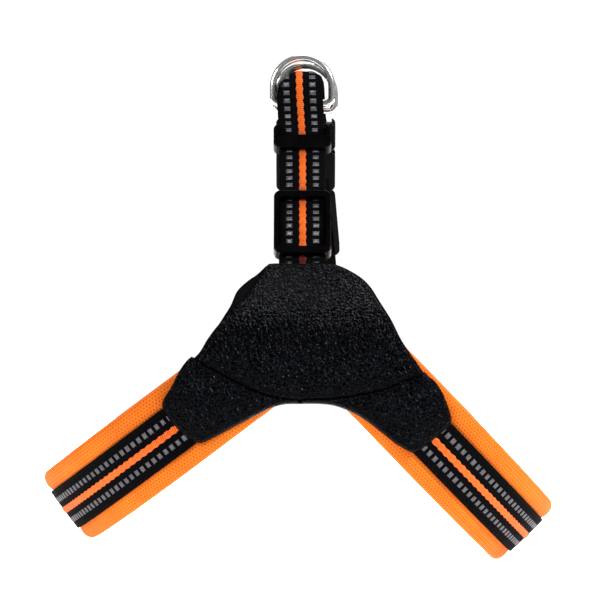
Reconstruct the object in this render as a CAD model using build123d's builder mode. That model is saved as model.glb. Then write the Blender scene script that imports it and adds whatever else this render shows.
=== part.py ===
"""No-pull dog harness, standing open as it sits on a dog, in millimetres.

Frame: the dog faces -X, its left side is -Y, +Z is up.  The origin is the centre of the torso
space: midway between the two shoulder plates, under the back strap, at the height where the
chest and belly bands would meet.
"""

from math import asin, atan2, cos, radians, sin
import os

from build123d import *

# ---------------------------------------------------------------- driving dimensions
WEB_WIDTH = 25.0        # nominal 25 mm (1 in) webbing
WEB_THICK = 1.6
PAD_WIDTH = 46.0        # padded mesh bands
PAD_THICK = 6.0
MESH_WALL = 1.0         # mesh cover over the foam core

HALF_DEPTH = 90.0       # torso centre plane to the middle of a band at a plate
JUNCTION_X = 8.7        # where the two band centrelines would cross
CHEST_ANGLE = 36.8      # degrees below horizontal, forward and down
BELLY_ANGLE = 46.0      # degrees below horizontal, backward and down
CHEST_REACH = 170.4     # junction to the far end of the fold, on the band's middle surface
BELLY_REACH = 160.8
BAND_START = 28.0       # bands begin here, hidden under the shoulder plates
LEAD_RADIUS = 150.0     # gentle curve of a band where it leaves the plate

LEATHER_THICK = 3.0
FOAM_THICK = 4.0
LINING_THICK = 1.2
LAYER_GAP = 0.4         # between stacked soft layers
LINING_MARGIN = 4.0     # lining shows this far past the leather's front edge
CAP_RUN = 120.0         # junction to beyond a cap's far end, on the band's middle surface
CAP_SPREAD = 60.0       # half width of the slab a cap is cut from
SKETCH_Y = 40.0         # plate outlines are drawn this far left of the centre plane
OUTLINE_RUN = 80.0      # and reach past the plate
SLAB_HALF = 90.0        # half length of the slab the panel is cut from

STRAP_FOOT = (-54.0, 30.0)      # (y, z) where the back strap leaves the left plate
STRAP_KNEE = (-9.0, 112.0)      # (y, z) where it turns upright below the rings
FOLD_RADIUS = 9.0               # middle of the webbing over the top
FOLD_ROUND = 8.9
KNEE_RADIUS = 8.0
CROWN_PLAY = 1.4                # fold's arched top to the inside of the rings
CROWN_AT = 0.8                  # middle of the arched top, along X
FOLD_TOP = 137.3                # top surface of the fold
RIGHT_SHIFT = 1.8               # the right side of the back strap hangs this far back (+X)
STRAP_TUCK = 6.0                # length of strap sewn in under the plate
STRAP_SIDE_ROOM = 9.0           # slot in the padding, each side of a centred strap
STRAP_PAST_BAR = 1.5            # right strap ends this far past the socket's bar
SPLIT_AT = 66.0                 # distance up the strap where the lifting top part begins
SPLIT_GAP = 0.6

RING_WIRE = 1.9         # wire radius
RING_RADIUS = 16.1      # wire centre radius of the round side
RING_SIDE = 8.7         # bar to the centre of the round side
RING_CORNER = 3.0
FRONT_RING = (0.0, -2.7, 119.7)
REAR_RING = (1.6, 2.7, 115.8)

SLIDER_WIDTH = 31.0
SLIDER_HEIGHT = 39.0
SLIDER_BAR = 4.0        # top and bottom bar height
SLIDER_RAIL = 2.8       # side rail width
SLIDER_AT = 24.6        # distance up the strap of the slider's centre
RIGHT_SLIDER_RAISE = 3.0
RIGHT_LEAN = 4.8        # degrees the right back strap leans back below the buckle
LEAN_AT = 58.0          # distance up the strap it leans about
KEEPER_WIDTH = 31.7
KEEPER_HEIGHT = 14.6
KEEPER_AT = 78.8
GLIDE_DEPTH = 3.0       # moulded bar thickness
GLIDE_CLEAR = 0.35      # webbing to plastic
BAR_FRONT = WEB_THICK / 2 + GLIDE_CLEAR     # webbing's middle to a bar in front of it
TAB_THICK = 1.0
TAB_BACK = WEB_THICK / 2 + 0.3              # sewn end starts this far behind the middle
TAB_NARROWER = 0.4
TAB_STEP = (8.0, 4.0)                       # where the loop closes above the centre bar
CENTRE_BAR = 2.0                            # thickness of the hidden centre bar
CENTRE_BAR_HEIGHT = 5.0
BAR_PLAY = 0.1                              # webbing loop to the centre bar
SLIDER_CORNER = 4.0
WINDOW_CORNER = 2.0
KEEPER_CORNER = 3.0
KEEPER_BAR = 8.6
KEEPER_SIDE_PLAY = 0.8                      # webbing's edges to the keeper's sides, both together
MOULD_ROUND = 0.9                           # rounding of the glides' outer edges
CUT = 1.0                                   # cutters reach this far past the surface
CLOSE = 0.01                                # faces count as level within this

BUCKLE_WIDTH = 33.0
BUCKLE_DEPTH = 9.0
BUCKLE_ROUND = 1.2
BUCKLE_WALL = 1.4       # front and back walls of the socket
BUCKLE_SIDE_WALL = 3.0
BUCKLE_BAR = 4.0        # bars the webbing is looped round
BUCKLE_SLOT = 4.5
SOCKET_SLOT_WIDTH = 26.8    # leaves room for the leaning strap
BUCKLE_CORNER = 3.5
SOCKET_BOTTOM = 50.0    # distances up the right strap
SOCKET_TOP = 74.5
PLUG_TOP = 92.0
PRONG_GAP = 0.35
PLUG_SLOT_WIDTH = 28.8  # leaves the top strap room for its sideways lean
PLUG_SLOT = 4.0
PLUG_CORNER = 3.0
PLUG_GAP = 0.5          # plug's shoulder to the socket's mouth
TONGUE_WIDTH = 7.0
TONGUE_SHORT = 2.0      # tongue stops this far above the cavity floor
PRONG_WIDTH = 5.0
PRONG_SHORT = 1.5
PRONG_SIDE_PLAY = 1.2   # prong to the cavity's side
PRONG_SHOULDER = (9.2, 8.6, 3.7)    # heights of the side button's root, top and bottom
PRONG_PROUD = -0.4      # button face to the socket's side
POCKET_PLAY = 1.0       # pocket in the plug round a prong's root
POCKET_DEPTH_PLAY = 0.4
PRONG_ROOT_DEPTH = 2.0


# ---------------------------------------------------------------- shared geometry
STRAP_TILT = atan2(STRAP_KNEE[0] - STRAP_FOOT[0], STRAP_KNEE[1] - STRAP_FOOT[1])
UP_STRAP = Vector(0, sin(STRAP_TILT), cos(STRAP_TILT))
OUT_OF_STRAP = Vector(0, -cos(STRAP_TILT), sin(STRAP_TILT))


def strap_plane(distance, lift=0.0):
    """Plane on the left back strap: x along X, y up the strap, z away from the dog."""
    foot = Vector(0, STRAP_FOOT[0], STRAP_FOOT[1])
    return Plane(origin=foot + UP_STRAP * distance + OUT_OF_STRAP * lift, x_dir=(1, 0, 0), z_dir=OUT_OF_STRAP)


def band_plane(angle, forward):
    """Plane with x along a band's centreline (away from the junction) and y along +Y."""
    reach_x = -cos(radians(angle)) if forward else cos(radians(angle))
    along = Vector(reach_x, 0, -sin(radians(angle)))
    return Plane(origin=(JUNCTION_X, 0, 0), x_dir=along, z_dir=along.cross(Vector(0, 1, 0)))


CHEST_PLANE = band_plane(CHEST_ANGLE, True)
BELLY_PLANE = band_plane(BELLY_ANGLE, False)


def band_section(reach, inner, outer, start):
    """Draw the closed loop section between two offsets from the band's middle surface."""
    centre = reach - HALF_DEPTH
    lead_centre_y = LEAD_RADIUS - HALF_DEPTH
    ends = []
    for offset in (outer, inner):
        lead = LEAD_RADIUS + offset
        turn = asin((centre - start) / lead)
        apex = (centre, -HALF_DEPTH - offset)
        tail = (centre - lead * sin(turn), lead_centre_y - lead * cos(turn))
        middle = (centre - lead * sin(turn / 2), lead_centre_y - lead * cos(turn / 2))
        ThreePointArc(tail, middle, apex)
        ThreePointArc(apex, (centre + HALF_DEPTH + offset, 0), (apex[0], -apex[1]))
        ThreePointArc((apex[0], -apex[1]), (middle[0], -middle[1]), (tail[0], -tail[1]))
        ends.append(tail)
    Line(ends[0], ends[1])
    Line((ends[0][0], -ends[0][1]), (ends[1][0], -ends[1][1]))


def cap_section(reach, inner, outer):
    """Draw the section of the leather cap that lies on a band's left side."""
    centre = reach - HALF_DEPTH
    lead_centre_y = LEAD_RADIUS - HALF_DEPTH
    ends = []
    for offset in (outer, inner):
        lead = LEAD_RADIUS + offset
        body = HALF_DEPTH + offset
        turn = asin(centre / lead)
        spread = asin((CAP_RUN - centre) / body)
        apex = (centre, -body)
        tail = (centre - lead * sin(turn), lead_centre_y - lead * cos(turn))
        tip = (centre + body * sin(spread), -body * cos(spread))
        ThreePointArc(tail, (centre - lead * sin(turn / 2), lead_centre_y - lead * cos(turn / 2)), apex)
        ThreePointArc(apex, (centre + body * sin(spread / 2), -body * cos(spread / 2)), tip)
        ends.append((tail, tip))
    Line(ends[0][0], ends[1][0])
    Line(ends[0][1], ends[1][1])


# (y, z) points down the outer face of the left shoulder panel
PANEL_FACE = [(-60.0, 33.0), (-70.0, 22.0), (-85.0, 8.0), (-95.5, -12.0), (-98.5, -44.0)]


def panel_slab(plane, depth, thickness):
    """Slab that follows the shoulder panel's face, shifted inward by depth."""
    with BuildSketch(plane) as section:
        with BuildLine():
            near = [(y + depth, z) for y, z in PANEL_FACE]
            far = [(y + depth + thickness, z) for y, z in PANEL_FACE]
            Spline(near)
            Spline(far)
            Line(near[0], far[0])
            Line(near[-1], far[-1])
        make_face()
    return section.sketch


def panel_outline(grow=0.0):
    """Outline of the main leather panel, seen from the dog's left."""
    top_left = (-18.1 - grow, 30.2)
    low_left = (-57.7, -19.6)
    Line(top_left, (16.5, 30.2))
    Spline((16.5, 30.2), (25.6, 25.8), (34.5, 17.7), (44.1, 0.7), (52.0, -13.4), (60.3, -24.0), (63.5, -27.7))
    Spline((63.5, -27.7), (54.3, -30.8), (40.4, -35.9), (20.0, -39.7), (-1.4, -40.8))
    Spline((-1.4, -40.8), (-19.6, -38.4), (-31.6, -33.2), (-43.4, -26.9), low_left)
    Spline(low_left, (-53.3 - grow / 2, -15.7), (-44.7 - grow, -2.8))
    Line((-44.7 - grow, -2.8), top_left)


def chest_cap_outline():
    """Outline of the cap that closes the plate over the chest band."""
    Spline((-58.0, -20.3), (-63.9, -25.6), (-72.4, -41.0), (-70.1, -50.0), (-58.6, -61.2), (-50.6, -62.7))
    Spline((-50.6, -62.7), (-39.5, -57.0), (-27.6, -50.7), (-17.0, -45.3), (-6.0, -43.4))
    Line((-6.0, -43.4), (-6.0, -41.6))
    Spline((-6.0, -41.6), (-19.6, -39.4), (-31.6, -34.2), (-43.4, -27.9), (-58.0, -20.3))


def belly_cap_outline():
    """Outline of the cap that closes the plate over the belly band."""
    Spline((64.0, -28.5), (72.1, -36.3), (77.3, -51.6), (71.4, -58.6), (60.3, -67.4), (55.2, -67.7))
    Spline((55.2, -67.7), (48.3, -63.7), (40.4, -57.4), (24.6, -46.9), (8.0, -43.4))
    Line((8.0, -43.4), (8.0, -41.8))
    Spline((8.0, -41.8), (20.0, -40.7), (40.4, -36.9), (54.3, -31.8), (64.0, -28.5))


def save(part, name):
    """Label one finished piece and write it."""
    part.label = name
    export_step(part, f"parts/{name}.step")


def to_right(part, shift=0.0):
    """The same piece on the dog's right side."""
    with BuildPart() as other:
        add(mirror(part, about=Plane.XZ, mode=Mode.PRIVATE).moved(Location((shift, 0, 0))))
    return other.part


def leaning(part):
    """A piece of the right back strap, turned in the strap's own plane about the buckle."""
    pivot = strap_plane(LEAN_AT).origin
    axis = Axis((RIGHT_SHIFT, -pivot.Y, pivot.Z), (0, -OUT_OF_STRAP.Y, OUT_OF_STRAP.Z))
    with BuildPart() as leant:
        add(part.rotate(axis, -RIGHT_LEAN))
    return leant.part


os.makedirs("parts", exist_ok=True)


# ---------------------------------------------------------------- padded bands
def make_band(name, plane, reach):
    """Mesh sleeve, its foam core and the webbing sewn along its outside."""
    half = PAD_THICK / 2
    with BuildPart() as mesh:
        with BuildSketch(plane):
            with BuildLine():
                band_section(reach, -half, half, BAND_START)
            make_face()
        extrude(amount=PAD_WIDTH / 2, both=True)
        long_edges = mesh.edges().filter_by(lambda e: e.length > PAD_WIDTH)
        fillet(long_edges, radius=PAD_THICK * 0.4)
        with BuildSketch(plane):
            with BuildLine():
                band_section(reach, -half + MESH_WALL, half - MESH_WALL, BAND_START - 1)
            make_face()
        extrude(amount=PAD_WIDTH / 2 - 2 * MESH_WALL, both=True, mode=Mode.SUBTRACT)
    save(mesh.part, f"{name}_band_mesh")

    with BuildPart() as foam:
        with BuildSketch(plane):
            with BuildLine():
                band_section(reach, -half + MESH_WALL, half - MESH_WALL, BAND_START)
            make_face()
        extrude(amount=PAD_WIDTH / 2 - 2 * MESH_WALL, both=True)
    save(foam.part, f"{name}_band_foam")

    with BuildPart() as webbing:
        with BuildSketch(plane):
            with BuildLine():
                band_section(reach, half, half + WEB_THICK, BAND_START)
            make_face()
        extrude(amount=WEB_WIDTH / 2, both=True)
    save(webbing.part, f"{name}_band_webbing")


make_band("chest", CHEST_PLANE, CHEST_REACH)
make_band("belly", BELLY_PLANE, BELLY_REACH)


# ---------------------------------------------------------------- shoulder plates
with BuildPart() as panel:
    slab = panel_slab(Plane.YZ.offset(-SLAB_HALF), 0.0, LEATHER_THICK)
    add(extrude(slab, amount=2 * SLAB_HALF, mode=Mode.PRIVATE))
    with BuildSketch(Plane.XZ.offset(SKETCH_Y)):
        with BuildLine():
            panel_outline()
        make_face()
    extrude(amount=OUTLINE_RUN, mode=Mode.INTERSECT)


def make_inner_layer(depth, thickness, grow):
    """A layer behind the leather, cut away where the two bands come in."""
    with BuildPart() as layer:
        slab = panel_slab(Plane.YZ.offset(-SLAB_HALF), depth, thickness)
        add(extrude(slab, amount=2 * SLAB_HALF, mode=Mode.PRIVATE))
        with BuildSketch(Plane.XZ.offset(SKETCH_Y)):
            with BuildLine():
                panel_outline(grow)
            make_face()
        extrude(amount=OUTLINE_RUN, mode=Mode.INTERSECT)
        for plane in (CHEST_PLANE, BELLY_PLANE):
            with BuildSketch(plane):
                with Locations((BAND_START + HALF_DEPTH - LAYER_GAP, -HALF_DEPTH)):
                    Rectangle(2 * HALF_DEPTH, HALF_DEPTH)
            extrude(amount=PAD_WIDTH / 2 + LAYER_GAP, both=True, mode=Mode.SUBTRACT)
        slot = strap_plane(0)
        with BuildSketch(slot):
            Rectangle(WEB_WIDTH + 2 * STRAP_SIDE_ROOM, 2 * (STRAP_TUCK + CUT))
        extrude(amount=WEB_THICK + LAYER_GAP, both=True, mode=Mode.SUBTRACT)
    return layer.part.solids().sort_by(SortBy.VOLUME)[-1]


foam_depth = LEATHER_THICK + LAYER_GAP
lining_depth = foam_depth + FOAM_THICK + LAYER_GAP
shoulder_foam = make_inner_layer(foam_depth, FOAM_THICK, 0.0)
shoulder_lining = make_inner_layer(lining_depth, LINING_THICK, LINING_MARGIN)


def make_cap(plane, reach, outline):
    """Leather cap over the end of a band."""
    inner = PAD_THICK / 2 + WEB_THICK + LAYER_GAP
    with BuildPart() as cap:
        with BuildSketch(plane):
            with BuildLine():
                cap_section(reach, inner, inner + LEATHER_THICK)
            make_face()
        extrude(amount=CAP_SPREAD, both=True)
        with BuildSketch(Plane.XZ.offset(SKETCH_Y)):
            with BuildLine():
                outline()
            make_face()
        extrude(amount=OUTLINE_RUN, mode=Mode.INTERSECT)
    return cap.part


chest_cap = make_cap(CHEST_PLANE, CHEST_REACH, chest_cap_outline)
belly_cap = make_cap(BELLY_PLANE, BELLY_REACH, belly_cap_outline)

for piece, name in (
    (panel.part, "shoulder_panel"),
    (shoulder_foam, "shoulder_foam"),
    (shoulder_lining, "shoulder_lining"),
    (chest_cap, "chest_cap"),
    (belly_cap, "belly_cap"),
):
    save(piece, f"left_{name}")
    save(to_right(piece), f"right_{name}")


# ---------------------------------------------------------------- back strap
def make_strap_run(first, last):
    """Straight webbing between two distances up the left strap."""
    with BuildPart() as run:
        with BuildSketch(strap_plane((first + last) / 2, -WEB_THICK / 2)):
            Rectangle(WEB_WIDTH, last - first)
        extrude(amount=WEB_THICK)
    return run.part


save(make_strap_run(-STRAP_TUCK, SPLIT_AT - SPLIT_GAP), "left_back_strap")
right_run = make_strap_run(-STRAP_TUCK, SOCKET_BOTTOM + BUCKLE_BAR + STRAP_PAST_BAR)
save(leaning(to_right(right_run, RIGHT_SHIFT)), "right_back_strap")

with BuildPart() as top_strap:
    split_point = strap_plane(SPLIT_AT).origin
    plug_point = strap_plane(PLUG_TOP - PLUG_SLOT / 2).origin
    fold_line = FOLD_TOP - WEB_THICK / 2
    with BuildLine(Plane.YZ) as fold:
        route = FilletPolyline(
            (split_point.Y, split_point.Z),
            STRAP_KNEE,
            (-FOLD_RADIUS, fold_line),
            (FOLD_RADIUS, fold_line),
            (-STRAP_KNEE[0], STRAP_KNEE[1]),
            (-plug_point.Y, plug_point.Z),
            radius=(KNEE_RADIUS, FOLD_ROUND, FOLD_ROUND, KNEE_RADIUS),
        )
    with BuildSketch(Plane(origin=route @ 0, x_dir=(1, 0, 0), z_dir=route % 0)):
        Rectangle(WEB_WIDTH, WEB_THICK)
    sweep(path=route)
    crown_z = REAR_RING[2] + RING_SIDE
    crown_radius = RING_RADIUS - RING_WIRE - CROWN_PLAY
    with BuildSketch(Plane.XZ.offset(SKETCH_Y)):
        with Locations((CROWN_AT, crown_z)):
            Circle(crown_radius)
        with Locations((0, crown_z / 2)):
            Rectangle(2 * WEB_WIDTH, crown_z)
    extrude(amount=-2 * SKETCH_Y, mode=Mode.INTERSECT)
save(top_strap.part, "top_strap")


# ---------------------------------------------------------------- sliders and keeper
def add_block(plane, width, height, low, high, corner=0.0, mode=Mode.ADD):
    """Rounded block on a strap plane, between two lifts off the webbing's middle."""
    with BuildSketch(plane.offset(low)) as section:
        if corner:
            RectangleRounded(width, height, corner)
        else:
            Rectangle(width, height)
    extrude(section.sketch, amount=high - low, mode=mode)


def make_slider(at):
    """Two-slot adjuster: webbing runs behind the end bars and in front of the centre bar."""
    plane = strap_plane(at)
    top = BAR_FRONT + GLIDE_DEPTH
    back = -(TAB_BACK + TAB_THICK + CENTRE_BAR)
    window_width = SLIDER_WIDTH - 2 * SLIDER_RAIL
    with BuildPart() as slider:
        add_block(plane, SLIDER_WIDTH, SLIDER_HEIGHT, back, top, SLIDER_CORNER)
        fillet(slider.edges().filter_by(
            lambda e: abs(plane.to_local_coords(e.center()).Z - top) < CLOSE), radius=MOULD_ROUND)
        add_block(plane, window_width, SLIDER_HEIGHT + 2 * CUT, back - CUT, BAR_FRONT, 0.0, Mode.SUBTRACT)
        window_height = SLIDER_HEIGHT - 2 * SLIDER_BAR
        add_block(plane, window_width, window_height, back - CUT, top + CUT, WINDOW_CORNER, Mode.SUBTRACT)
        add_block(plane, window_width + CUT, CENTRE_BAR_HEIGHT, back, back + CENTRE_BAR)
    return slider.part


def make_slider_tab(at):
    """Sewn end of the webbing, looped round the slider's centre bar."""
    plane = strap_plane(at)
    front = -TAB_BACK
    back = front - 2 * TAB_THICK - CENTRE_BAR
    loop_low = -CENTRE_BAR_HEIGHT / 2 - TAB_THICK - BAR_PLAY
    tail = SLIDER_HEIGHT / 2 + CUT
    step_out, step_in = TAB_STEP
    width = WEB_WIDTH - TAB_NARROWER
    with BuildPart() as tab:
        with BuildSketch(Plane(plane.origin, x_dir=plane.y_dir, z_dir=plane.x_dir)):
            with BuildLine():
                Line((loop_low, front), (tail, front))
                Line((tail, front), (tail, front - 2 * TAB_THICK))
                Line((tail, front - 2 * TAB_THICK), (step_out, front - 2 * TAB_THICK))
                Line((step_out, front - 2 * TAB_THICK), (step_in, back))
                Line((step_in, back), (loop_low, back))
                Line((loop_low, back), (loop_low, front))
            make_face()
        extrude(amount=width / 2, both=True)
        add_block(plane, WEB_WIDTH + 2 * CUT, CENTRE_BAR_HEIGHT + 2 * BAR_PLAY,
                  front - TAB_THICK - CENTRE_BAR, front - TAB_THICK, 0.0, Mode.SUBTRACT)
    return tab.part


def make_keeper(at):
    """Two-bar keeper: lower bar in front of the webbing, upper bar behind it."""
    plane = strap_plane(at)
    top = BAR_FRONT + GLIDE_DEPTH
    back = -BAR_FRONT - GLIDE_DEPTH
    slot_width = WEB_WIDTH + KEEPER_SIDE_PLAY
    open_height = KEEPER_HEIGHT - KEEPER_BAR + 2 * CUT
    with BuildPart() as keeper:
        add_block(plane, KEEPER_WIDTH, KEEPER_HEIGHT, back, top, KEEPER_CORNER)
        fillet(keeper.edges().filter_by(
            lambda e: abs(plane.to_local_coords(e.center()).Z - top) < CLOSE), radius=MOULD_ROUND)
        add_block(plane, slot_width, KEEPER_HEIGHT + 2 * CUT, -BAR_FRONT, BAR_FRONT, 0.0, Mode.SUBTRACT)
        above = Plane(plane.origin + UP_STRAP * KEEPER_BAR / 2, x_dir=plane.x_dir, z_dir=plane.z_dir)
        add_block(above, slot_width, open_height, -BAR_FRONT, top + CUT, 0.0, Mode.SUBTRACT)
        below = Plane(plane.origin - UP_STRAP * KEEPER_BAR / 2, x_dir=plane.x_dir, z_dir=plane.z_dir)
        add_block(below, slot_width, open_height, back - CUT, BAR_FRONT, 0.0, Mode.SUBTRACT)
    return keeper.part


save(make_slider(SLIDER_AT), "left_slider")
right_at = SLIDER_AT + RIGHT_SLIDER_RAISE
save(leaning(to_right(make_slider(right_at), RIGHT_SHIFT)), "right_slider")
save(make_slider_tab(SLIDER_AT), "left_slider_tab")
save(leaning(to_right(make_slider_tab(right_at), RIGHT_SHIFT)), "right_slider_tab")
save(make_keeper(KEEPER_AT), "strap_keeper")


# ---------------------------------------------------------------- leash rings
def make_ring(centre):
    """Welded wire D-ring: a flat bar side and a round side over the webbing's fold."""
    x, y, z = centre
    side = RING_RADIUS
    corner = RING_CORNER
    with BuildPart() as ring:
        with BuildLine(Plane.XZ.offset(-y)):
            Line((x - side + corner, z), (x + side - corner, z))
            RadiusArc((x + side - corner, z), (x + side, z + corner), -corner)
            Line((x + side, z + corner), (x + side, z + RING_SIDE))
            ThreePointArc((x + side, z + RING_SIDE), (x, z + RING_SIDE + side), (x - side, z + RING_SIDE))
            Line((x - side, z + RING_SIDE), (x - side, z + corner))
            RadiusArc((x - side, z + corner), (x - side + corner, z), -corner)
        with BuildSketch(Plane(origin=(x, y, z), x_dir=(0, 1, 0), z_dir=(1, 0, 0))):
            Circle(RING_WIRE)
        sweep()
    return ring.part


save(make_ring(FRONT_RING), "front_d_ring")
save(make_ring(REAR_RING), "rear_d_ring")


# ---------------------------------------------------------------- side-release buckle
half_buckle = BUCKLE_DEPTH / 2
cavity_depth = BUCKLE_DEPTH - 2 * BUCKLE_WALL
cavity_width = BUCKLE_WIDTH - 2 * BUCKLE_SIDE_WALL
socket_middle = (SOCKET_BOTTOM + SOCKET_TOP) / 2
socket_height = SOCKET_TOP - SOCKET_BOTTOM

with BuildPart() as socket:
    body = strap_plane(socket_middle)
    add_block(body, BUCKLE_WIDTH, socket_height, -half_buckle, half_buckle, BUCKLE_CORNER)
    rim = socket.edges().filter_by(
        lambda e: abs(abs(body.to_local_coords(e.center()).Z) - half_buckle) < CLOSE)
    fillet(rim, radius=BUCKLE_ROUND)
    floor = SOCKET_BOTTOM + BUCKLE_BAR + BUCKLE_SLOT + BUCKLE_WALL
    cavity = strap_plane((floor + SOCKET_TOP + CUT) / 2)
    cavity_height = SOCKET_TOP + CUT - floor
    add_block(cavity, cavity_width, cavity_height,
              -cavity_depth / 2, cavity_depth / 2, 0.0, Mode.SUBTRACT)
    window = strap_plane((floor + SOCKET_TOP) / 2 + CUT)
    window_width = BUCKLE_WIDTH + 2 * CUT
    add_block(window, window_width, SOCKET_TOP - floor,
              -cavity_depth / 2, cavity_depth / 2, 0.0, Mode.SUBTRACT)
    slot = strap_plane(SOCKET_BOTTOM + BUCKLE_BAR + BUCKLE_SLOT / 2)
    add_block(slot, SOCKET_SLOT_WIDTH, BUCKLE_SLOT,
              -half_buckle - CUT, half_buckle + CUT, 0.0, Mode.SUBTRACT)
    below_slot = strap_plane(SOCKET_BOTTOM + BUCKLE_BAR / 2)
    add_block(below_slot, SOCKET_SLOT_WIDTH, BUCKLE_BAR + CUT,
              -BAR_FRONT, half_buckle + CUT, 0.0, Mode.SUBTRACT)
save(to_right(socket.part, RIGHT_SHIFT), "buckle_socket")

tongue_depth = cavity_depth - 2 * PRONG_GAP
prong_root = SOCKET_TOP + PLUG_GAP
prong_tip = floor + PRONG_SHORT
prong_x = cavity_width / 2 - PRONG_WIDTH / 2 - PRONG_SIDE_PLAY

with BuildPart() as plug:
    head = strap_plane((prong_root + PLUG_TOP) / 2)
    add_block(head, BUCKLE_WIDTH, PLUG_TOP - prong_root, -half_buckle, half_buckle, PLUG_CORNER)
    rim = plug.edges().filter_by(
        lambda e: abs(abs(head.to_local_coords(e.center()).Z) - half_buckle) < CLOSE)
    fillet(rim, radius=BUCKLE_ROUND)
    slot = strap_plane(PLUG_TOP - PLUG_SLOT - CUT / 2)
    add_block(slot, PLUG_SLOT_WIDTH, PLUG_SLOT,
              -half_buckle - CUT, half_buckle + CUT, 0.0, Mode.SUBTRACT)
    above_slot = strap_plane(PLUG_TOP - CUT)
    add_block(above_slot, PLUG_SLOT_WIDTH, PLUG_SLOT,
              -BAR_FRONT - BAR_PLAY, half_buckle + CUT, 0.0, Mode.SUBTRACT)
    tongue = strap_plane((floor + TONGUE_SHORT + prong_root) / 2)
    tongue_height = prong_root - floor - TONGUE_SHORT + CUT
    add_block(tongue, TONGUE_WIDTH, tongue_height, -tongue_depth / 2, tongue_depth / 2)
    for sign in (-1, 1):
        pocket = Plane(head.origin + Vector(sign * prong_x, 0, 0) - UP_STRAP * (PLUG_TOP - prong_root) / 2,
                       x_dir=head.x_dir, z_dir=head.z_dir)
        pocket_half = tongue_depth / 2 + POCKET_DEPTH_PLAY
        add_block(pocket, PRONG_WIDTH + 2 * POCKET_PLAY, PRONG_WIDTH,
                  -pocket_half, pocket_half, 0.0, Mode.SUBTRACT)
save(to_right(plug.part, RIGHT_SHIFT), "buckle_plug")


def make_prong(sign):
    """Springy arm of the plug, with the shoulder that is pressed in the socket's side window."""
    origin = strap_plane(0).origin + Vector(sign * prong_x, 0, 0)
    plane = Plane(origin, x_dir=(1, 0, 0), z_dir=OUT_OF_STRAP)
    thin = PRONG_WIDTH / 5
    root_top = prong_root + PRONG_ROOT_DEPTH
    shoulder, button_top, button_low = (floor + height for height in PRONG_SHOULDER)
    reach = BUCKLE_WIDTH / 2 - prong_x + PRONG_PROUD
    with BuildPart() as prong:
        with BuildSketch(plane.offset(-tongue_depth / 2)):
            with BuildLine():
                Polyline(
                    (-sign * thin, root_top),
                    (sign * thin, root_top),
                    (sign * 1.75 * thin, shoulder),
                    (sign * reach, button_top),
                    (sign * reach, button_low),
                    (sign * thin, prong_tip),
                    (-sign * 1.25 * thin, prong_tip),
                    (-sign * thin, root_top),
                )
            make_face()
        extrude(amount=tongue_depth)
    return prong.part


save(to_right(make_prong(-1), RIGHT_SHIFT), "front_prong")
save(to_right(make_prong(1), RIGHT_SHIFT), "rear_prong")
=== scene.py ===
"""Looks of the no-pull dog harness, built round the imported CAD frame.

All sizes below are in millimetres and are turned into metres when a mesh is made.
"""

import bpy
import numpy as np
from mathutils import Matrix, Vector
from mathutils.geometry import delaunay_2d_cdt


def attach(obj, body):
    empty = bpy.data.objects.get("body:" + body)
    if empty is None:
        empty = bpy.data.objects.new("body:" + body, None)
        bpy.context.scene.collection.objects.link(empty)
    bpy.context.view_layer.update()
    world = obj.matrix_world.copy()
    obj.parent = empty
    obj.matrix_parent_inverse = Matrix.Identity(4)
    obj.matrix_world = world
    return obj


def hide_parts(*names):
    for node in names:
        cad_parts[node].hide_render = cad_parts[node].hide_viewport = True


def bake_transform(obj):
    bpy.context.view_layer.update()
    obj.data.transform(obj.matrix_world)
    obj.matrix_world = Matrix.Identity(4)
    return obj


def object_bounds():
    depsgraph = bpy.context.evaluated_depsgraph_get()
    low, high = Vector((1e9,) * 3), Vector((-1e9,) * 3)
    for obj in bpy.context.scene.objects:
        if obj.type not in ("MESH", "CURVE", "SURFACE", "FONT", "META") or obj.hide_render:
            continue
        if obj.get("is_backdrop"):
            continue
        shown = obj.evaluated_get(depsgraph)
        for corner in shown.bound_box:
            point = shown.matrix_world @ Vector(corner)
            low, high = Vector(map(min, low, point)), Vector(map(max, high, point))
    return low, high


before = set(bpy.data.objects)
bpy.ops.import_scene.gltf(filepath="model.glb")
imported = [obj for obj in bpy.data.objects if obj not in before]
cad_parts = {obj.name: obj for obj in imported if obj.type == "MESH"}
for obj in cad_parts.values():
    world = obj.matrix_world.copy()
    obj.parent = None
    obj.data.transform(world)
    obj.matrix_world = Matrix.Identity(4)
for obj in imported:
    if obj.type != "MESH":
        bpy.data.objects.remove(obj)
cad_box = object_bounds()

MM = 0.001
FULL_TURN = 6.2832
RIB_PITCH = 0.00107         # metres between the webbing's cross ribs
YARN_PITCH = 0.0011         # metres between its yarns
LINE_PITCH = 0.0007         # metres between the fine lines of a reflective block
rng = np.random.default_rng(7)

# ---------------------------------------------------------------- sizes shared with the CAD model
WEB_WIDTH = 25.0
STRAP_WIDTH = 25.4         # the unpadded strap just fills its sliders
WEB_THICK = 1.6
PAD_WIDTH = 46.0
PAD_THICK = 6.0
HALF_DEPTH = 90.0
JUNCTION_X = 8.7
BAND_START = 28.0
LEAD_RADIUS = 150.0
LEATHER_THICK = 3.0
STRAP_FOOT = np.array([-54.0, 30.0])
STRAP_KNEE = np.array([-9.0, 112.0])
FOLD_RADIUS = 9.0
FOLD_TOP = 137.3
KNEE_RADIUS = 8.0
RIGHT_SHIFT = 1.8
SLIDER_AT = 24.6
RIGHT_SLIDER_RAISE = 3.0
RIGHT_LEAN = 4.8
LEAN_AT = 58.0
# woven pattern: its repeat, one block's width and length, and the blocks' distance from the middle
BAND_WEAVE = {"pitch": 3.95, "width": 3.4, "length": 2.45, "offset": 6.6}
STRAP_WEAVE = {"pitch": 4.4, "width": 3.8, "length": 2.6, "offset": 7.2}
STRAP_RUN = float(np.hypot(*(STRAP_KNEE - STRAP_FOOT)))
UP_STRAP = (STRAP_KNEE - STRAP_FOOT) / STRAP_RUN


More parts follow.
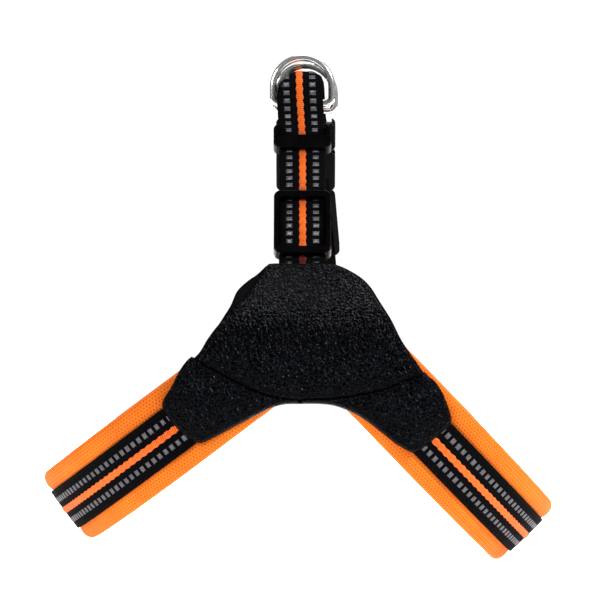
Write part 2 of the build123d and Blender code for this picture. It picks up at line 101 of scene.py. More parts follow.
# ---------------------------------------------------------------- material helpers
def new_material(name, colour, roughness, metallic=0.0, specular=0.5):
    """A Principled material and its node tree."""
    material = bpy.data.materials.new(name)
    material.use_nodes = True
    tree = material.node_tree
    shader = tree.nodes["Principled BSDF"]
    shader.inputs["Base Color"].default_value = (*colour, 1)
    shader.inputs["Roughness"].default_value = roughness
    shader.inputs["Metallic"].default_value = metallic
    shader.inputs["Specular IOR Level"].default_value = specular
    return material, tree, shader


def calc(tree, operation, a, b=None, c=None):
    """A Math node fed by sockets or numbers."""
    made = tree.nodes.new("ShaderNodeMath")
    made.operation = operation
    for slot, value in enumerate((a, b, c)):
        if value is None:
            continue
        if isinstance(value, (int, float)):
            made.inputs[slot].default_value = value
        else:
            tree.links.new(value, made.inputs[slot])
    return made.outputs[0]


def ramp(tree, value, low, high, colour_low, colour_high):
    """Blend two colours as value goes from low to high."""
    made = tree.nodes.new("ShaderNodeValToRGB")
    made.color_ramp.elements[0].position = low
    made.color_ramp.elements[0].color = (*colour_low, 1)
    made.color_ramp.elements[1].position = high
    made.color_ramp.elements[1].color = (*colour_high, 1)
    tree.links.new(value, made.inputs[0])
    return made.outputs[0]


def noise(tree, vector, scale, detail=3.0, roughness=0.5):
    """Noise texture value on a vector, scale per metre."""
    made = tree.nodes.new("ShaderNodeTexNoise")
    made.inputs["Scale"].default_value = scale
    made.inputs["Detail"].default_value = detail
    made.inputs["Roughness"].default_value = roughness
    tree.links.new(vector, made.inputs["Vector"])
    return made.outputs["Fac"]


def voronoi(tree, vector, scale, feature="F1", smoothness=0.0, randomness=1.0):
    """Voronoi distance on a vector, scale per metre."""
    made = tree.nodes.new("ShaderNodeTexVoronoi")
    made.feature = feature
    made.inputs["Scale"].default_value = scale
    made.inputs["Randomness"].default_value = randomness
    if "Smoothness" in made.inputs and feature == "SMOOTH_F1":
        made.inputs["Smoothness"].default_value = smoothness
    tree.links.new(vector, made.inputs["Vector"])
    return made.outputs["Distance"]


def bump(tree, shader, height, distance, strength=1.0, before=None):
    """Bump the shader by a height socket; distance in metres."""
    made = tree.nodes.new("ShaderNodeBump")
    made.inputs["Strength"].default_value = strength
    made.inputs["Distance"].default_value = distance
    tree.links.new(height, made.inputs["Height"])
    if before is not None:
        tree.links.new(before, made.inputs["Normal"])
    tree.links.new(made.outputs[0], shader.inputs["Normal"])
    return made.outputs[0]


def object_coords(tree):
    """Position in the model's own frame, in metres."""
    return tree.nodes.new("ShaderNodeTexCoord").outputs["Object"]


def uv_parts(tree):
    """Distance along and across a strip, in metres, from its UV map."""
    split = tree.nodes.new("ShaderNodeSeparateXYZ")
    tree.links.new(tree.nodes.new("ShaderNodeTexCoord").outputs["UV"], split.inputs[0])
    return split.outputs[0], split.outputs[1]


def paint(tree, shader, colour):
    """Feed a colour to the shader."""
    tree.links.new(colour, shader.inputs["Base Color"])


def vary_gloss(tree, shader, value, low, high):
    """Let roughness go from low to high as value goes from 0 to 1."""
    gloss = tree.nodes.new("ShaderNodeMapRange")
    gloss.inputs["To Min"].default_value = low
    gloss.inputs["To Max"].default_value = high
    tree.links.new(value, gloss.inputs["Value"])
    tree.links.new(gloss.outputs[0], shader.inputs["Roughness"])


# ---------------------------------------------------------------- materials
def shaded(tree, colour, dark):
    """Colour with painted shade: it goes to the dark one where a mesh's shade value is 1."""
    painted_shade_attr = tree.nodes.new("ShaderNodeAttribute")
    painted_shade_attr.attribute_name = "shade"
    mix = tree.nodes.new("ShaderNodeMix")
    mix.data_type = "RGBA"
    tree.links.new(painted_shade_attr.outputs["Fac"], mix.inputs["Factor"])
    tree.links.new(colour, mix.inputs["A"])
    mix.inputs["B"].default_value = (*dark, 1.0)
    return mix.outputs["Result"]


def make_mesh_fabric():
    """Orange air mesh: a hexagonal net of small pores over a lighter knit."""
    material, tree, shader = new_material("orange_air_mesh", (1.0, 0.22, 0.02), 0.75, specular=0.1)
    along, across = uv_parts(tree)
    pitch = 0.0019
    row = pitch * 0.866
    holes = []
    for shift in (0.0, 0.5):
        x = calc(tree, "DIVIDE", along, pitch)
        y = calc(tree, "DIVIDE", across, 2 * row)
        x = calc(tree, "SUBTRACT", calc(tree, "FRACT", calc(tree, "ADD", x, shift)), 0.5)
        y = calc(tree, "SUBTRACT", calc(tree, "FRACT", calc(tree, "ADD", y, shift)), 0.5)
        y = calc(tree, "MULTIPLY", y, 2 * 0.866)
        square = calc(tree, "ADD", calc(tree, "MULTIPLY", x, x), calc(tree, "MULTIPLY", y, y))
        holes.append(calc(tree, "SQRT", square))
    hole = calc(tree, "MINIMUM", holes[0], holes[1])
    patch = noise(tree, object_coords(tree), 60.0, 2.0)
    knit = ramp(tree, hole, 0.14, 0.34, (0.74, 0.095, 0.004), (0.95, 0.218, 0.018))
    tint = tree.nodes.new("ShaderNodeMix")
    tint.data_type = "RGBA"
    tint.blend_type = "MULTIPLY"
    tree.links.new(ramp(tree, patch, 0.35, 0.65, (0.93, 0.88, 0.85), (1.0, 1.0, 1.0)), tint.inputs["B"])
    tree.links.new(knit, tint.inputs["A"])
    tint.inputs["Factor"].default_value = 1.0
    tree.links.new(tint.outputs["Result"], shader.inputs["Base Color"])
    smooth_hole = calc(tree, "SMOOTH_MIN", hole, 0.42, 0.2)
    fuzz = noise(tree, object_coords(tree), 2600.0, 2.0)
    height = calc(tree, "ADD", smooth_hole, calc(tree, "MULTIPLY", fuzz, 0.12))
    bump(tree, shader, height, 0.0006, 0.75)
    shader.inputs["Sheen Weight"].default_value = 0.03
    shader.inputs["Sheen Roughness"].default_value = 0.5
    return material


def make_webbing():
    """Black woven webbing: fine cross ribs and slightly uneven yarns."""
    material, tree, shader = new_material("black_webbing", (0.006, 0.006, 0.007), 0.75, specular=0.03)
    along, across = uv_parts(tree)
    rib = calc(tree, "SINE", calc(tree, "MULTIPLY", along, FULL_TURN / RIB_PITCH))
    yarn = calc(tree, "SINE", calc(tree, "MULTIPLY", across, FULL_TURN / YARN_PITCH))
    weave = calc(tree, "MULTIPLY", rib, calc(tree, "MULTIPLY_ADD", yarn, 0.25, 0.75))
    fuzz = noise(tree, object_coords(tree), 1800.0, 3.0)
    height = calc(tree, "ADD", calc(tree, "MULTIPLY", weave, 0.5), fuzz)
    bump(tree, shader, height, 0.00028, 0.8)
    tone = calc(tree, "MULTIPLY_ADD", rib, 0.25, fuzz)
    paint(tree, shader, ramp(tree, tone, 0.2, 0.9, (0.0006, 0.0006, 0.0008), (0.0042, 0.0042, 0.0052)))
    return material


def make_stripe():
    """Fluorescent orange cord stripe woven into the webbing."""
    material, tree, shader = new_material("orange_stripe", (1.0, 0.16, 0.01), 0.55, specular=0.35)
    along, across = uv_parts(tree)
    turns = calc(tree, "MULTIPLY", along, FULL_TURN / RIB_PITCH)
    strand = calc(tree, "SINE", calc(tree, "ADD", turns, calc(tree, "MULTIPLY", across, 900.0)))
    fuzz = noise(tree, object_coords(tree), 1500.0, 2.0)
    tone = calc(tree, "MULTIPLY_ADD", strand, 0.2, fuzz)
    colour = ramp(tree, tone, 0.25, 0.8, (0.92, 0.085, 0.003), (1.0, 0.235, 0.012))
    # painted shade: the stripe goes dark red under and beside the slider and keeper bars, from the mesh's
    # shade value
    paint(tree, shader, shaded(tree, colour, (0.08, 0.001, 0.0003)))
    bump(tree, shader, calc(tree, "ADD", strand, fuzz), 0.0002, 0.6)
    return material


def make_reflective():
    """Grey retroreflective yarn blocks with fine lines along the webbing."""
    material, tree, shader = new_material("reflective_yarn", (0.32, 0.32, 0.35), 0.38, metallic=0.25)
    along, across = uv_parts(tree)
    lines = calc(tree, "SINE", calc(tree, "MULTIPLY", across, FULL_TURN / LINE_PITCH))
    grain = noise(tree, object_coords(tree), 1200.0, 3.0)
    tone = calc(tree, "MULTIPLY_ADD", lines, 0.12, grain)
    colour = ramp(tree, tone, 0.25, 0.8, (0.055, 0.055, 0.062), (0.15, 0.15, 0.165))
    # painted shade: the blocks go dark under and beside the slider and keeper bars, from the mesh's shade
    # value
    paint(tree, shader, shaded(tree, colour, (0.002, 0.002, 0.003)))
    bump(tree, shader, calc(tree, "ADD", lines, grain), 0.00012, 0.6)
    return material


def make_leather():
    """Black pebbled leather: rounded cells with creases between them."""
    material, tree, shader = new_material("pebbled_leather", (0.004, 0.004, 0.005), 0.26, specular=0.06)
    where = object_coords(tree)
    warp = tree.nodes.new("ShaderNodeMix")
    warp.data_type = "VECTOR"
    warp.inputs["Factor"].default_value = 0.0022
    drift = tree.nodes.new("ShaderNodeTexNoise")
    drift.inputs["Scale"].default_value = 190.0
    tree.links.new(where, drift.inputs["Vector"])
    tree.links.new(where, warp.inputs["A"])
    tree.links.new(drift.outputs["Color"], warp.inputs["B"])
    place = warp.outputs["Result"]
    cell = voronoi(tree, place, 440.0, "SMOOTH_F1", 0.35)
    crease = voronoi(tree, place, 440.0, "DISTANCE_TO_EDGE")
    small = voronoi(tree, place, 1350.0, "SMOOTH_F1", 0.5)
    fine = noise(tree, where, 4200.0, 3.0)
    dome = calc(tree, "SUBTRACT", 1.0, calc(tree, "MULTIPLY", cell, cell))
    edge = calc(tree, "MINIMUM", calc(tree, "MULTIPLY", crease, 5.0), 1.0)
    height = calc(tree, "ADD", calc(tree, "MULTIPLY", dome, 0.55), calc(tree, "MULTIPLY", edge, 0.45))
    height = calc(tree, "SUBTRACT", height, calc(tree, "MULTIPLY", small, 0.22))
    height = calc(tree, "ADD", height, calc(tree, "MULTIPLY", fine, 0.05))
    bump(tree, shader, height, 0.00075, 0.85)
    broad = noise(tree, where, 45.0, 2.0)
    tone = calc(tree, "MULTIPLY", edge, broad)
    paint(tree, shader, ramp(tree, tone, 0.1, 0.6, (0.0004, 0.0004, 0.0007), (0.0012, 0.0012, 0.0022)))
    shader.inputs["Specular Tint"].default_value = (0.8, 0.86, 1.0, 1.0)
    vary_gloss(tree, shader, broad, 0.20, 0.32)
    return material


def make_lining():
    """Dull black tricot with a small diamond knit."""
    material, tree, shader = new_material("black_lining", (0.003, 0.003, 0.004), 0.9, specular=0.03)
    where = object_coords(tree)
    knit = voronoi(tree, where, 900.0, "F1", randomness=0.15)
    fuzz = noise(tree, where, 1500.0, 3.0)
    height = calc(tree, "ADD", knit, calc(tree, "MULTIPLY", fuzz, 0.5))
    bump(tree, shader, height, 0.0003, 0.7)
    paint(tree, shader, ramp(tree, height, 0.3, 1.0, (0.0006, 0.0006, 0.0008), (0.0035, 0.0035, 0.0042)))
    return material


def make_plastic():
    """Black moulded acetal, satin, with the mould's faint texture and rubbed patches."""
    material, tree, shader = new_material("moulded_plastic", (0.003, 0.003, 0.0035), 0.3, specular=0.07)
    where = object_coords(tree)
    texture = noise(tree, where, 2400.0, 3.0)
    rub = noise(tree, where, 120.0, 3.0)
    bump(tree, shader, texture, 0.00006, 0.5)
    vary_gloss(tree, shader, rub, 0.22, 0.34)
    paint(tree, shader, ramp(tree, rub, 0.3, 0.7, (0.0008, 0.0008, 0.001), (0.002, 0.002, 0.0024)))
    return material


def make_chrome():
    """Polished chrome wire with faint handling marks."""
    material, tree, shader = new_material("chrome_wire", (0.84, 0.84, 0.82), 0.2, metallic=0.8)
    where = object_coords(tree)
    marks = noise(tree, where, 900.0, 4.0)
    vary_gloss(tree, shader, marks, 0.14, 0.26)
    bump(tree, shader, noise(tree, where, 300.0, 2.0), 0.00004, 0.3)
    return material


def make_thread():
    """Black bonded thread."""
    material, tree, shader = new_material("black_thread", (0.003, 0.003, 0.004), 0.7, specular=0.08)
    fuzz = noise(tree, object_coords(tree), 5000.0, 2.0)
    bump(tree, shader, fuzz, 0.0001, 0.6)
    paint(tree, shader, ramp(tree, fuzz, 0.3, 0.7, (0.001, 0.001, 0.0012), (0.004, 0.004, 0.005)))
    return material


MESH = make_mesh_fabric()
WEBBING = make_webbing()
STRIPE = make_stripe()
REFLECTIVE = make_reflective()
LEATHER = make_leather()
LINING = make_lining()
PLASTIC = make_plastic()
CHROME = make_chrome()
THREAD = make_thread()


# ---------------------------------------------------------------- mesh helpers
def make_object(name, points, faces, material, uvs=None, shade=None):
    """A smooth-shaded mesh object from points in millimetres, with a shade value for each if given."""
    mesh = bpy.data.meshes.new(name)
    mesh.from_pydata([tuple(p) for p in np.asarray(points) * MM], [], [tuple(f) for f in faces])
    if uvs is not None:
        layer = mesh.uv_layers.new(name="UVMap")
        corner = np.empty(len(mesh.loops), dtype=np.int32)
        mesh.loops.foreach_get("vertex_index", corner)
        layer.data.foreach_set("uv", (np.asarray(uvs)[corner] * MM).astype(np.float32).ravel())
    if shade is not None:
        values = mesh.attributes.new("shade", "FLOAT", "POINT").data
        values.foreach_set("value", np.asarray(shade, dtype=np.float32))
    mesh.polygons.foreach_set("use_smooth", [True] * len(mesh.polygons))
    mesh.materials.append(material)
    mesh.validate()
    made = bpy.data.objects.new(name, mesh)
    bpy.context.scene.collection.objects.link(made)
    return made


def sweep_section(rows, close=True):
    """Quads between successive closed sections, with flat ends. rows: list of (n, 3) arrays."""
    count = len(rows[0])
    points = np.concatenate(rows)
    faces = []
    for r in range(len(rows) - 1):
        for c in range(count if close else count - 1):
            d = (c + 1) % count
            faces.append((r * count + c, r * count + d, (r + 1) * count + d, (r + 1) * count + c))
    if close:
        faces.append(tuple(range(count - 1, -1, -1)))
        last = (len(rows) - 1) * count
        faces.append(tuple(range(last, last + count)))
    return points, faces


# ---------------------------------------------------------------- bands
class Band:
    """One padded band: a loop in the plane of its centreline and Y, as in the CAD model."""

    def __init__(self, angle, forward, reach):
        turn = np.radians(angle)
        side = -1.0 if forward else 1.0
        self.along = np.array([side * np.cos(turn), -np.sin(turn)])
        self.up = np.array([side * np.sin(turn), np.cos(turn)])
        self.centre = reach - HALF_DEPTH
        self.lead = float(np.arcsin((self.centre - BAND_START) / LEAD_RADIUS)) * LEAD_RADIUS
        self.half = self.lead + HALF_DEPTH * np.pi / 2
        self.length = 2 * self.half

    def spot(self, s):
        """Point (u, y) and outward normal at distance s from the left end of the band."""
        mirrored = s > self.half
        t = self.length - s if mirrored else s
        if t < self.lead:
            phi = (self.lead - t) / LEAD_RADIUS
            point = np.array([self.centre - LEAD_RADIUS * np.sin(phi),
                              LEAD_RADIUS - HALF_DEPTH - LEAD_RADIUS * np.cos(phi)])
            normal = np.array([-np.sin(phi), -np.cos(phi)])
        else:
            phi = (t - self.lead) / HALF_DEPTH
            point = np.array([self.centre + HALF_DEPTH * np.sin(phi), -HALF_DEPTH * np.cos(phi)])
            normal = np.array([np.sin(phi), -np.cos(phi)])
        if mirrored:
            point[1] *= -1
            normal[1] *= -1
        return point, normal

    def place(self, s, w, h):
        """World point at distance s along, w across (up positive) and h off the middle surface."""
        point, normal = self.spot(s)
        u = point[0] + normal[0] * h
        y = point[1] + normal[1] * h
        flat = self.along * u + self.up * w
        return np.array([JUNCTION_X + flat[0], y, flat[1]])

    def crown(self, s, w):
        """How far the band bows away from its middle towards its edges."""
        round_end = np.sin(np.pi * np.clip(s / self.length, 0, 1)) ** 2
        return -(0.4 + 0.3 * round_end) * (w / (PAD_WIDTH / 2)) ** 2

    def face_depth(self, x, z, h):
        """Depth y of the left outer face at height h off the middle, above (x, z)."""
        rel_x = x - JUNCTION_X
        u = rel_x * self.along[0] + z * self.along[1]
        lead = LEAD_RADIUS + h
        body = HALF_DEPTH + h
        before = (LEAD_RADIUS - HALF_DEPTH) - np.sqrt(np.maximum(lead**2 - (self.centre - u) ** 2, 1.0))
        after = -np.sqrt(np.maximum(body**2 - (u - self.centre) ** 2, 1.0))
        return np.where(u < self.centre, before, after)


CHEST = Band(36.8, True, 170.4)
BELLY = Band(46.0, False, 160.8)
LOWER_NARROWER = 0.955   # the lower edge of a band is pulled in by its seam
PAD_FLAT = PAD_THICK / 2 - 0.15       # pad height under the webbing


def pad_height(w, bulge):
    """Outer height of the pad across its width: pressed under the webbing, full beside it."""
    half = PAD_WIDTH / 2
    t = np.clip((abs(w) - WEB_WIDTH / 2) / (half - WEB_WIDTH / 2), 0, 1)
    body = PAD_FLAT * np.sqrt(max(0.0, 1 - t**5))
    return body + bulge * np.sin(np.pi * min(1.0, t * 1.02)) ** 0.9 * (1 - 0.25 * t) if t > 0 else PAD_FLAT


def make_pad(name, band):
    """Orange mesh sleeve over its foam, pressed down along the webbing's two seams."""
    half = PAD_WIDTH / 2
    inward = [0.0, 0.12, 0.45, 0.95, 1.7, 2.7, 3.9, 5.2, 6.6, 8.0, 9.2, 10.0, 10.5, 11.0, 13.0, 17.0, 20.0,
              half]
    edge = half - np.array(inward)
    outer = np.concatenate([edge, -edge[-2::-1]])
    steps = int(band.length / 1.6)
    rows, uvs = [], []
    wave = rng.uniform(0, 6.28, 6)
    for i in range(steps + 1):
        s = band.length * i / steps
        ripple = 0.12 * np.sin(s / 9.0 + wave[0]) + 0.10 * np.sin(s / 4.7 + wave[1])
        side_in = 0.35 * np.sin(s / 31.0 + wave[2])
        row, uv = [], []
        for face, bulge in ((1, 1.15), (-1, 0.45)):
            ws = outer if face == 1 else outer[::-1][1:-1]
            for w in ws:
                h = pad_height(w, bulge + ripple * (1 if w > 0 else -0.7)) * face
                w_here = w * (1 + side_in / half * 0.4) * (1 if w > 0 else LOWER_NARROWER)
                row.append(band.place(s, w_here, h + band.crown(s, w)))
                uv.append((s, w + (0 if face == 1 else 200)))
        rows.append(np.array(row))
        uvs.extend(uv)
    points, faces = sweep_section(rows)
    pad = make_object(name, points, faces, MESH, uvs)
    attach(pad, "root")
    return pad


def strip_rows(place, length, low, high, width, step, edge=0.35):
    """Closed rounded-rectangle sections of a strap, as place(s, w, h) puts them."""
    half = width / 2
    middle = (low + high) / 2
    section = []
    across = np.concatenate([[-half + edge], np.linspace(-half + 1.6, half - 1.6, 9), [half - edge]])
    section += [(w, high) for w in across]
    section += [(half - 0.08, high - 0.3), (half, middle), (half - 0.08, low + 0.3)]
    section += [(w, low) for w in across[::-1]]
    section += [(-half + 0.08, low + 0.3), (-half, middle), (-half + 0.08, high - 0.3)]
    rows, uvs = [], []
    for i in range(int(length / step) + 1):
        s = min(length, i * step)
        rows.append(np.array([place(s, w, h) for w, h in section]))
        uvs += [(s, w + (0 if h > middle else 90)) for w, h in section]
    return rows, uvs


def make_strip(name, place, length, low, high, width, material, step=1.6):
    """A strap with rounded edges along a route."""
    rows, uvs = strip_rows(place, length, low, high, width, step)
    points, faces = sweep_section(rows)
    return make_object(name, points, faces, material, uvs)


def make_stripe_mesh(name, place, first, last, base, pitch, shade):
    """Raised orange centre stripe whose edges bulge once every pattern repeat."""
    rows, uvs = [], []
    count = int((last - first) / (pitch / 8))
    for i in range(count + 1):
        s = first + (last - first) * i / count
        swell = np.cos(2 * np.pi * s / pitch)
        half = 1.85 + 0.24 * swell
        top = base + 0.34 + 0.10 * swell
        across = np.array([-1.0, -0.93, -0.7, -0.35, 0, 0.35, 0.7, 0.93, 1.0]) * half
        lift = np.sqrt(np.maximum(0, 1 - (across / half) ** 2)) ** 0.6
        ring = [(w, base - 0.12 + (top - base + 0.12) * l) for w, l in zip(across, lift)]
        ring += [(half * 0.6, base - 0.2), (-half * 0.6, base - 0.2)]
        rows.append(np.array([place(s, w, h) for w, h in ring]))
        uvs += [(s, w) for w, h in ring]
    points, faces = sweep_section(rows)
    return make_object(name, points, faces, STRIPE, uvs, [shade(s) for s, w in uvs])


def make_blocks(name, place, first, last, base, shade, pitch, width, length, offset):
    """Two rows of reflective blocks, each a slightly domed patch woven into the webbing."""
    points, faces, uvs = [], [], []
    along = np.array([-0.5, -0.42, -0.15, 0.15, 0.42, 0.5]) * length
    across = np.array([-0.5, -0.42, -0.15, 0.15, 0.42, 0.5]) * width
    n = len(along)
    for k in range(int(np.ceil(first / pitch)), int(last / pitch)):
        for side in (-1, 1):
            start = len(points)
            size = 1 + rng.uniform(-0.05, 0.05)
            for a in along:
                for w in across:
                    pinch = 1 - 0.09 * np.cos(np.pi * a / length)
                    rim = max(abs(a) / length, abs(w) / width) > 0.49
                    dome = 0.0 if rim else 0.16 + 0.05 * np.cos(np.pi * w / width)
                    s = (k + 0.5) * pitch + a * size
                    points.append(place(s, side * offset + w * pinch * size, base - 0.1 + dome * 1.3))
                    uvs.append((s, side * offset + w))
            for i in range(n - 1):
                for j in range(n - 1):
                    a = start + i * n + j
                    faces.append((a, a + n, a + n + 1, a + 1))
            ring = [start + j for j in range(n)]
            ring += [start + i * n + n - 1 for i in range(1, n)]
            ring += [start + (n - 1) * n + j for j in range(n - 2, -1, -1)]
            ring += [start + i * n for i in range(n - 2, 0, -1)]
            faces.append(tuple(ring))
    return make_object(name, points, faces, REFLECTIVE, uvs, [shade(s) for s, w in uvs])


def thread_faces(start):
    """Faces of one stitch: five rings of six points, closed at both ends."""
    faces = []
    for i in range(4):
        for j in range(6):
            a, b = start + i * 6 + j, start + i * 6 + (j + 1) % 6
            faces.append((a, b, b + 6, a + 6))
    return faces + [tuple(start + j for j in range(5, -1, -1)), tuple(start + 24 + j for j in range(6))]


def make_stitches(name, place, rows, first, last, height, pitch=3.2, length=2.3, radius=0.2):
    """Rows of lockstitches lying on a surface, each a short bowed thread."""
    points, faces = [], []
    ring = [(np.cos(a), np.sin(a)) for a in np.linspace(0, 2 * np.pi, 6, endpoint=False)]
    for w in rows:
        for k in range(int((last - first) / pitch)):
            middle = first + (k + 0.5) * pitch
            start = len(points)
            for t in (-0.5, -0.38, 0.0, 0.38, 0.5):
                sink = height - 0.28 * (abs(t) > 0.45)
                thin = 0.45 if abs(t) > 0.45 else 1.0
                for a, b in ring:
                    points.append(place(middle + t * length, w + a * radius * thin, sink + b * radius * thin))
            faces += thread_faces(start)
    return make_object(name, points, faces, THREAD)


def unshaded(s):
    """Shade value of webbing that nothing covers."""
    return 0.0


def dress_webbing(name, place, first, last, base, weave, body="root", shade=unshaded):
    """Stripe and blocks on a run of webbing, shaded along its length."""
    made = [
        make_stripe_mesh(f"{name}_stripe", place, first, last, base, weave["pitch"], shade),
        make_blocks(f"{name}_reflective_blocks", place, first, last, base, shade, **weave),
    ]
    for piece in made:
        if body:
            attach(piece, body)
    return made


def make_band(name, band):
    """Pad, webbing, stripe, blocks and stitching of one band."""
    pad = make_pad(f"{name}_band_pad", band)
    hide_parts(f"{name}_band_mesh", f"{name}_band_foam")

    def place(s, w, h):
        return band.place(s, w, h + band.crown(s, w))

    low = PAD_FLAT - 0.1
    high = PAD_FLAT + WEB_THICK
    web = make_strip(f"{name}_band_strap", place, band.length, low, high, WEB_WIDTH, WEBBING)
    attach(web, "root")
    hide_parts(f"{name}_band_webbing")
    dress_webbing(f"{name}_band", place, 4.0, band.length - 4.0, high, BAND_WEAVE)
    thread = make_stitches(f"{name}_band_stitching", place, (-11.2, 11.2), 6.0, band.length - 6.0, high)
    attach(thread, "root")


make_band("chest", CHEST)
make_band("belly", BELLY)


# ---------------------------------------------------------------- shoulder plates
PANEL_FACE = [(-60.0, 33.0), (-70.0, 22.0), (-85.0, 8.0), (-95.5, -12.0), (-98.5, -44.0)]
VALLEY = [
    (63.5, -27.7), (54.3, -30.8), (40.4, -35.9), (20.0, -39.7), (8.1, -40.6), (-1.4, -40.8), (-10.7, -40.3),
    (-19.6, -38.4), (-31.6, -33.2), (-43.4, -26.9), (-53.8, -21.7), (-57.7, -19.6),
]
PANEL_RIGHT = [
    (16.5, 30.2), (20.5, 28.8), (25.9, 26.1), (31.6, 22.3), (35.9, 17.7), (40.2, 10.6), (46.2, 0.7),
    (50.8, -8.8), (53.6, -13.4), (57.1, -18.5), (60.9, -24.0), (63.5, -27.7),
]
PANEL_LEFT = [
    (-57.7, -19.6), (-55.9, -18.6), (-53.3, -15.7), (-49.5, -9.3), (-44.7, -2.8), (-39.8, 2.6), (-34.8, 8.1),
    (-29.9, 13.2), (-26.0, 18.7), (-22.6, 23.8), (-19.6, 28.4), (-18.1, 30.2),
]
PANEL_TOP = [(-18.1, 30.2), (-14.5, 30.5), (-0.9, 30.2), (8.4, 30.8), (16.5, 30.2)]
PANEL_EDGES = [PANEL_TOP, PANEL_RIGHT, VALLEY, PANEL_LEFT]
TUCK_UNDER = 1.3        # caps reach this far under the panel's rolled edge
UNDER_LEFT = [(x, z + TUCK_UNDER) for x, z in VALLEY if x < 3]
UNDER_RIGHT = [(x, z + TUCK_UNDER) for x, z in VALLEY if x > -3]
CHEST_CAP_EDGES = [
    UNDER_LEFT,
    [UNDER_LEFT[-1], (-60.2, -20.5), (-63.9, -25.6), (-68.9, -35.2), (-72.4, -41.0), (-73.0, -44.2),
     (-70.1, -50.0), (-64.5, -56.4), (-58.6, -61.2), (-55.4, -63.0), (-53.0, -63.4), (-50.6, -62.7)],
    [(-50.6, -62.7), (-39.5, -57.0), (-27.6, -50.7), (-17.0, -45.3), (-9.8, -43.3), (-1.4, -43.0)],
    [(-1.4, -43.0), UNDER_LEFT[0]],
]
BELLY_CAP_EDGES = [
    [UNDER_RIGHT[0], (65.8, -29.0), (68.2, -30.8), (72.1, -36.3), (75.4, -43.9), (77.3, -51.6), (76.0, -54.6),
     (71.4, -58.6), (65.0, -64.0), (60.3, -67.4), (57.6, -68.2), (55.2, -67.7)],
    [(55.2, -67.7), (48.3, -63.7), (40.4, -57.4), (32.5, -51.5), (24.6, -46.9), (16.1, -43.9),
     (8.0, -43.0), (-1.4, -43.0)],
    [(-1.4, -43.0), UNDER_RIGHT[-1]],
    UNDER_RIGHT[::-1],
]
LINING_EDGES = [
    [(-19.4, 29.2), (15.0, 29.0)],
    [(15.0, 29.0), (20.0, 26.5), (29.0, 20.5), (36.5, 10.0), (42.3, 0.5), (47.0, -8.8),
     (54.0, -19.0), (58.0, -25.0)],
    [(58.0, -25.0), (48.0, -31.0), (32.0, -36.0), (8.0, -38.6), (-10.0, -38.3), (-25.0, -34.2),
     (-43.0, -25.0), (-54.0, -20.5)],
    [(-54.0, -20.5), (-50.5, -13.5), (-45.2, -4.0), (-41.1, 2.6), (-37.8, 8.1), (-34.5, 15.7), (-29.4, 20.8),
     (-24.1, 24.6), (-19.4, 29.2)],
]


def between(first, last, start, end, k):
    """Value at k on the line that runs from first at start to last at end."""
    return first * (end - k) / (end - start) + last * (k - start) / (end - start)


def curve_through(points, step):
    """Evenly spaced points on a centripetal Catmull-Rom curve, without its last point."""
    points = np.asarray(points, dtype=float)
    if len(points) == 2:
        count = max(1, int(np.hypot(*(points[1] - points[0])) / step))
        return points[0] + (points[1] - points[0]) * (np.arange(count) / count)[:, None]
    padded = np.vstack([2 * points[0] - points[1], points, 2 * points[-1] - points[-2]])
    dense = []
    for i in range(1, len(padded) - 2):
        p = padded[i - 1:i + 3]
        t = np.concatenate([[0], np.cumsum(np.sqrt(np.linalg.norm(np.diff(p, axis=0), axis=1)))])
        for k in np.linspace(t[1], t[2], 40, endpoint=False):
            a = [between(p[j], p[j + 1], t[j], t[j + 1], k) for j in range(3)]
            b = [between(a[j], a[j + 1], t[j], t[j + 2], k) for j in range(2)]
            dense.append(between(b[0], b[1], t[1], t[2], k))
    dense = np.array(dense + [padded[-2]])
    run = np.concatenate([[0], np.cumsum(np.linalg.norm(np.diff(dense, axis=0), axis=1))])
    count = max(2, int(run[-1] / step))
    at = np.linspace(0, run[-1], count, endpoint=False)
    return np.stack([np.interp(at, run, dense[:, 0]), np.interp(at, run, dense[:, 1])], axis=1)


def outline_loop(edges, step):
    """Closed outline as an array of (x, z)."""
    return np.concatenate([curve_through(edge, step) for edge in edges])


def edge_distance(points, loop):
    """Distance of each point to a closed loop."""
    a = loop
    b = np.roll(loop, -1, axis=0)
    ab = b - a
    size = (ab**2).sum(1) + 1e-9
    best = np.full(len(points), 1e9)
    for first in range(0, len(points), 2000):
        p = points[first:first + 2000, None, :]
        t = np.clip(((p - a) * ab).sum(2) / size, 0, 1)
        best[first:first + 2000] = np.sqrt((((a + t[..., None] * ab) - p) ** 2).sum(2)).min(1)
    return best


def inside(points, loop):
    """True for points inside a closed loop."""
    x, z = points[:, 0][:, None], points[:, 1][:, None]
    ax, az = loop[:, 0], loop[:, 1]
    bx, bz = np.roll(ax, -1), np.roll(az, -1)
    crosses = (az > z) != (bz > z)
    slope = (bx - ax) * (z - az) / np.where(np.abs(bz - az) < 1e-9, 1e-9, bz - az) + ax
    return (crosses & (x < slope)).sum(1) % 2 == 1


def fill_outline(loop, step):
    """Triangles filling a loop, with interior points: points, faces, distance to the edge."""
    low, high = loop.min(0), loop.max(0)
    xs = np.arange(low[0], high[0], step)
    zs = np.arange(low[1], high[1], step * 0.866)
    grid = np.array([(x + (j % 2) * step / 2, z) for j, z in enumerate(zs) for x in xs])
    grid += rng.uniform(-0.12, 0.12, grid.shape) * step
    grid = grid[inside(grid, loop)]
    grid = grid[edge_distance(grid, loop) > step * 0.55]
    count = len(loop)
    verts = [Vector(p) for p in np.concatenate([loop, grid])]
    edges = [(i, (i + 1) % count) for i in range(count)]
    points, _, faces, *_ = delaunay_2d_cdt(verts, edges, [], 1, 1e-5)
    points = np.array([tuple(p) for p in points])
    return points, [tuple(f) for f in faces], edge_distance(points, loop)


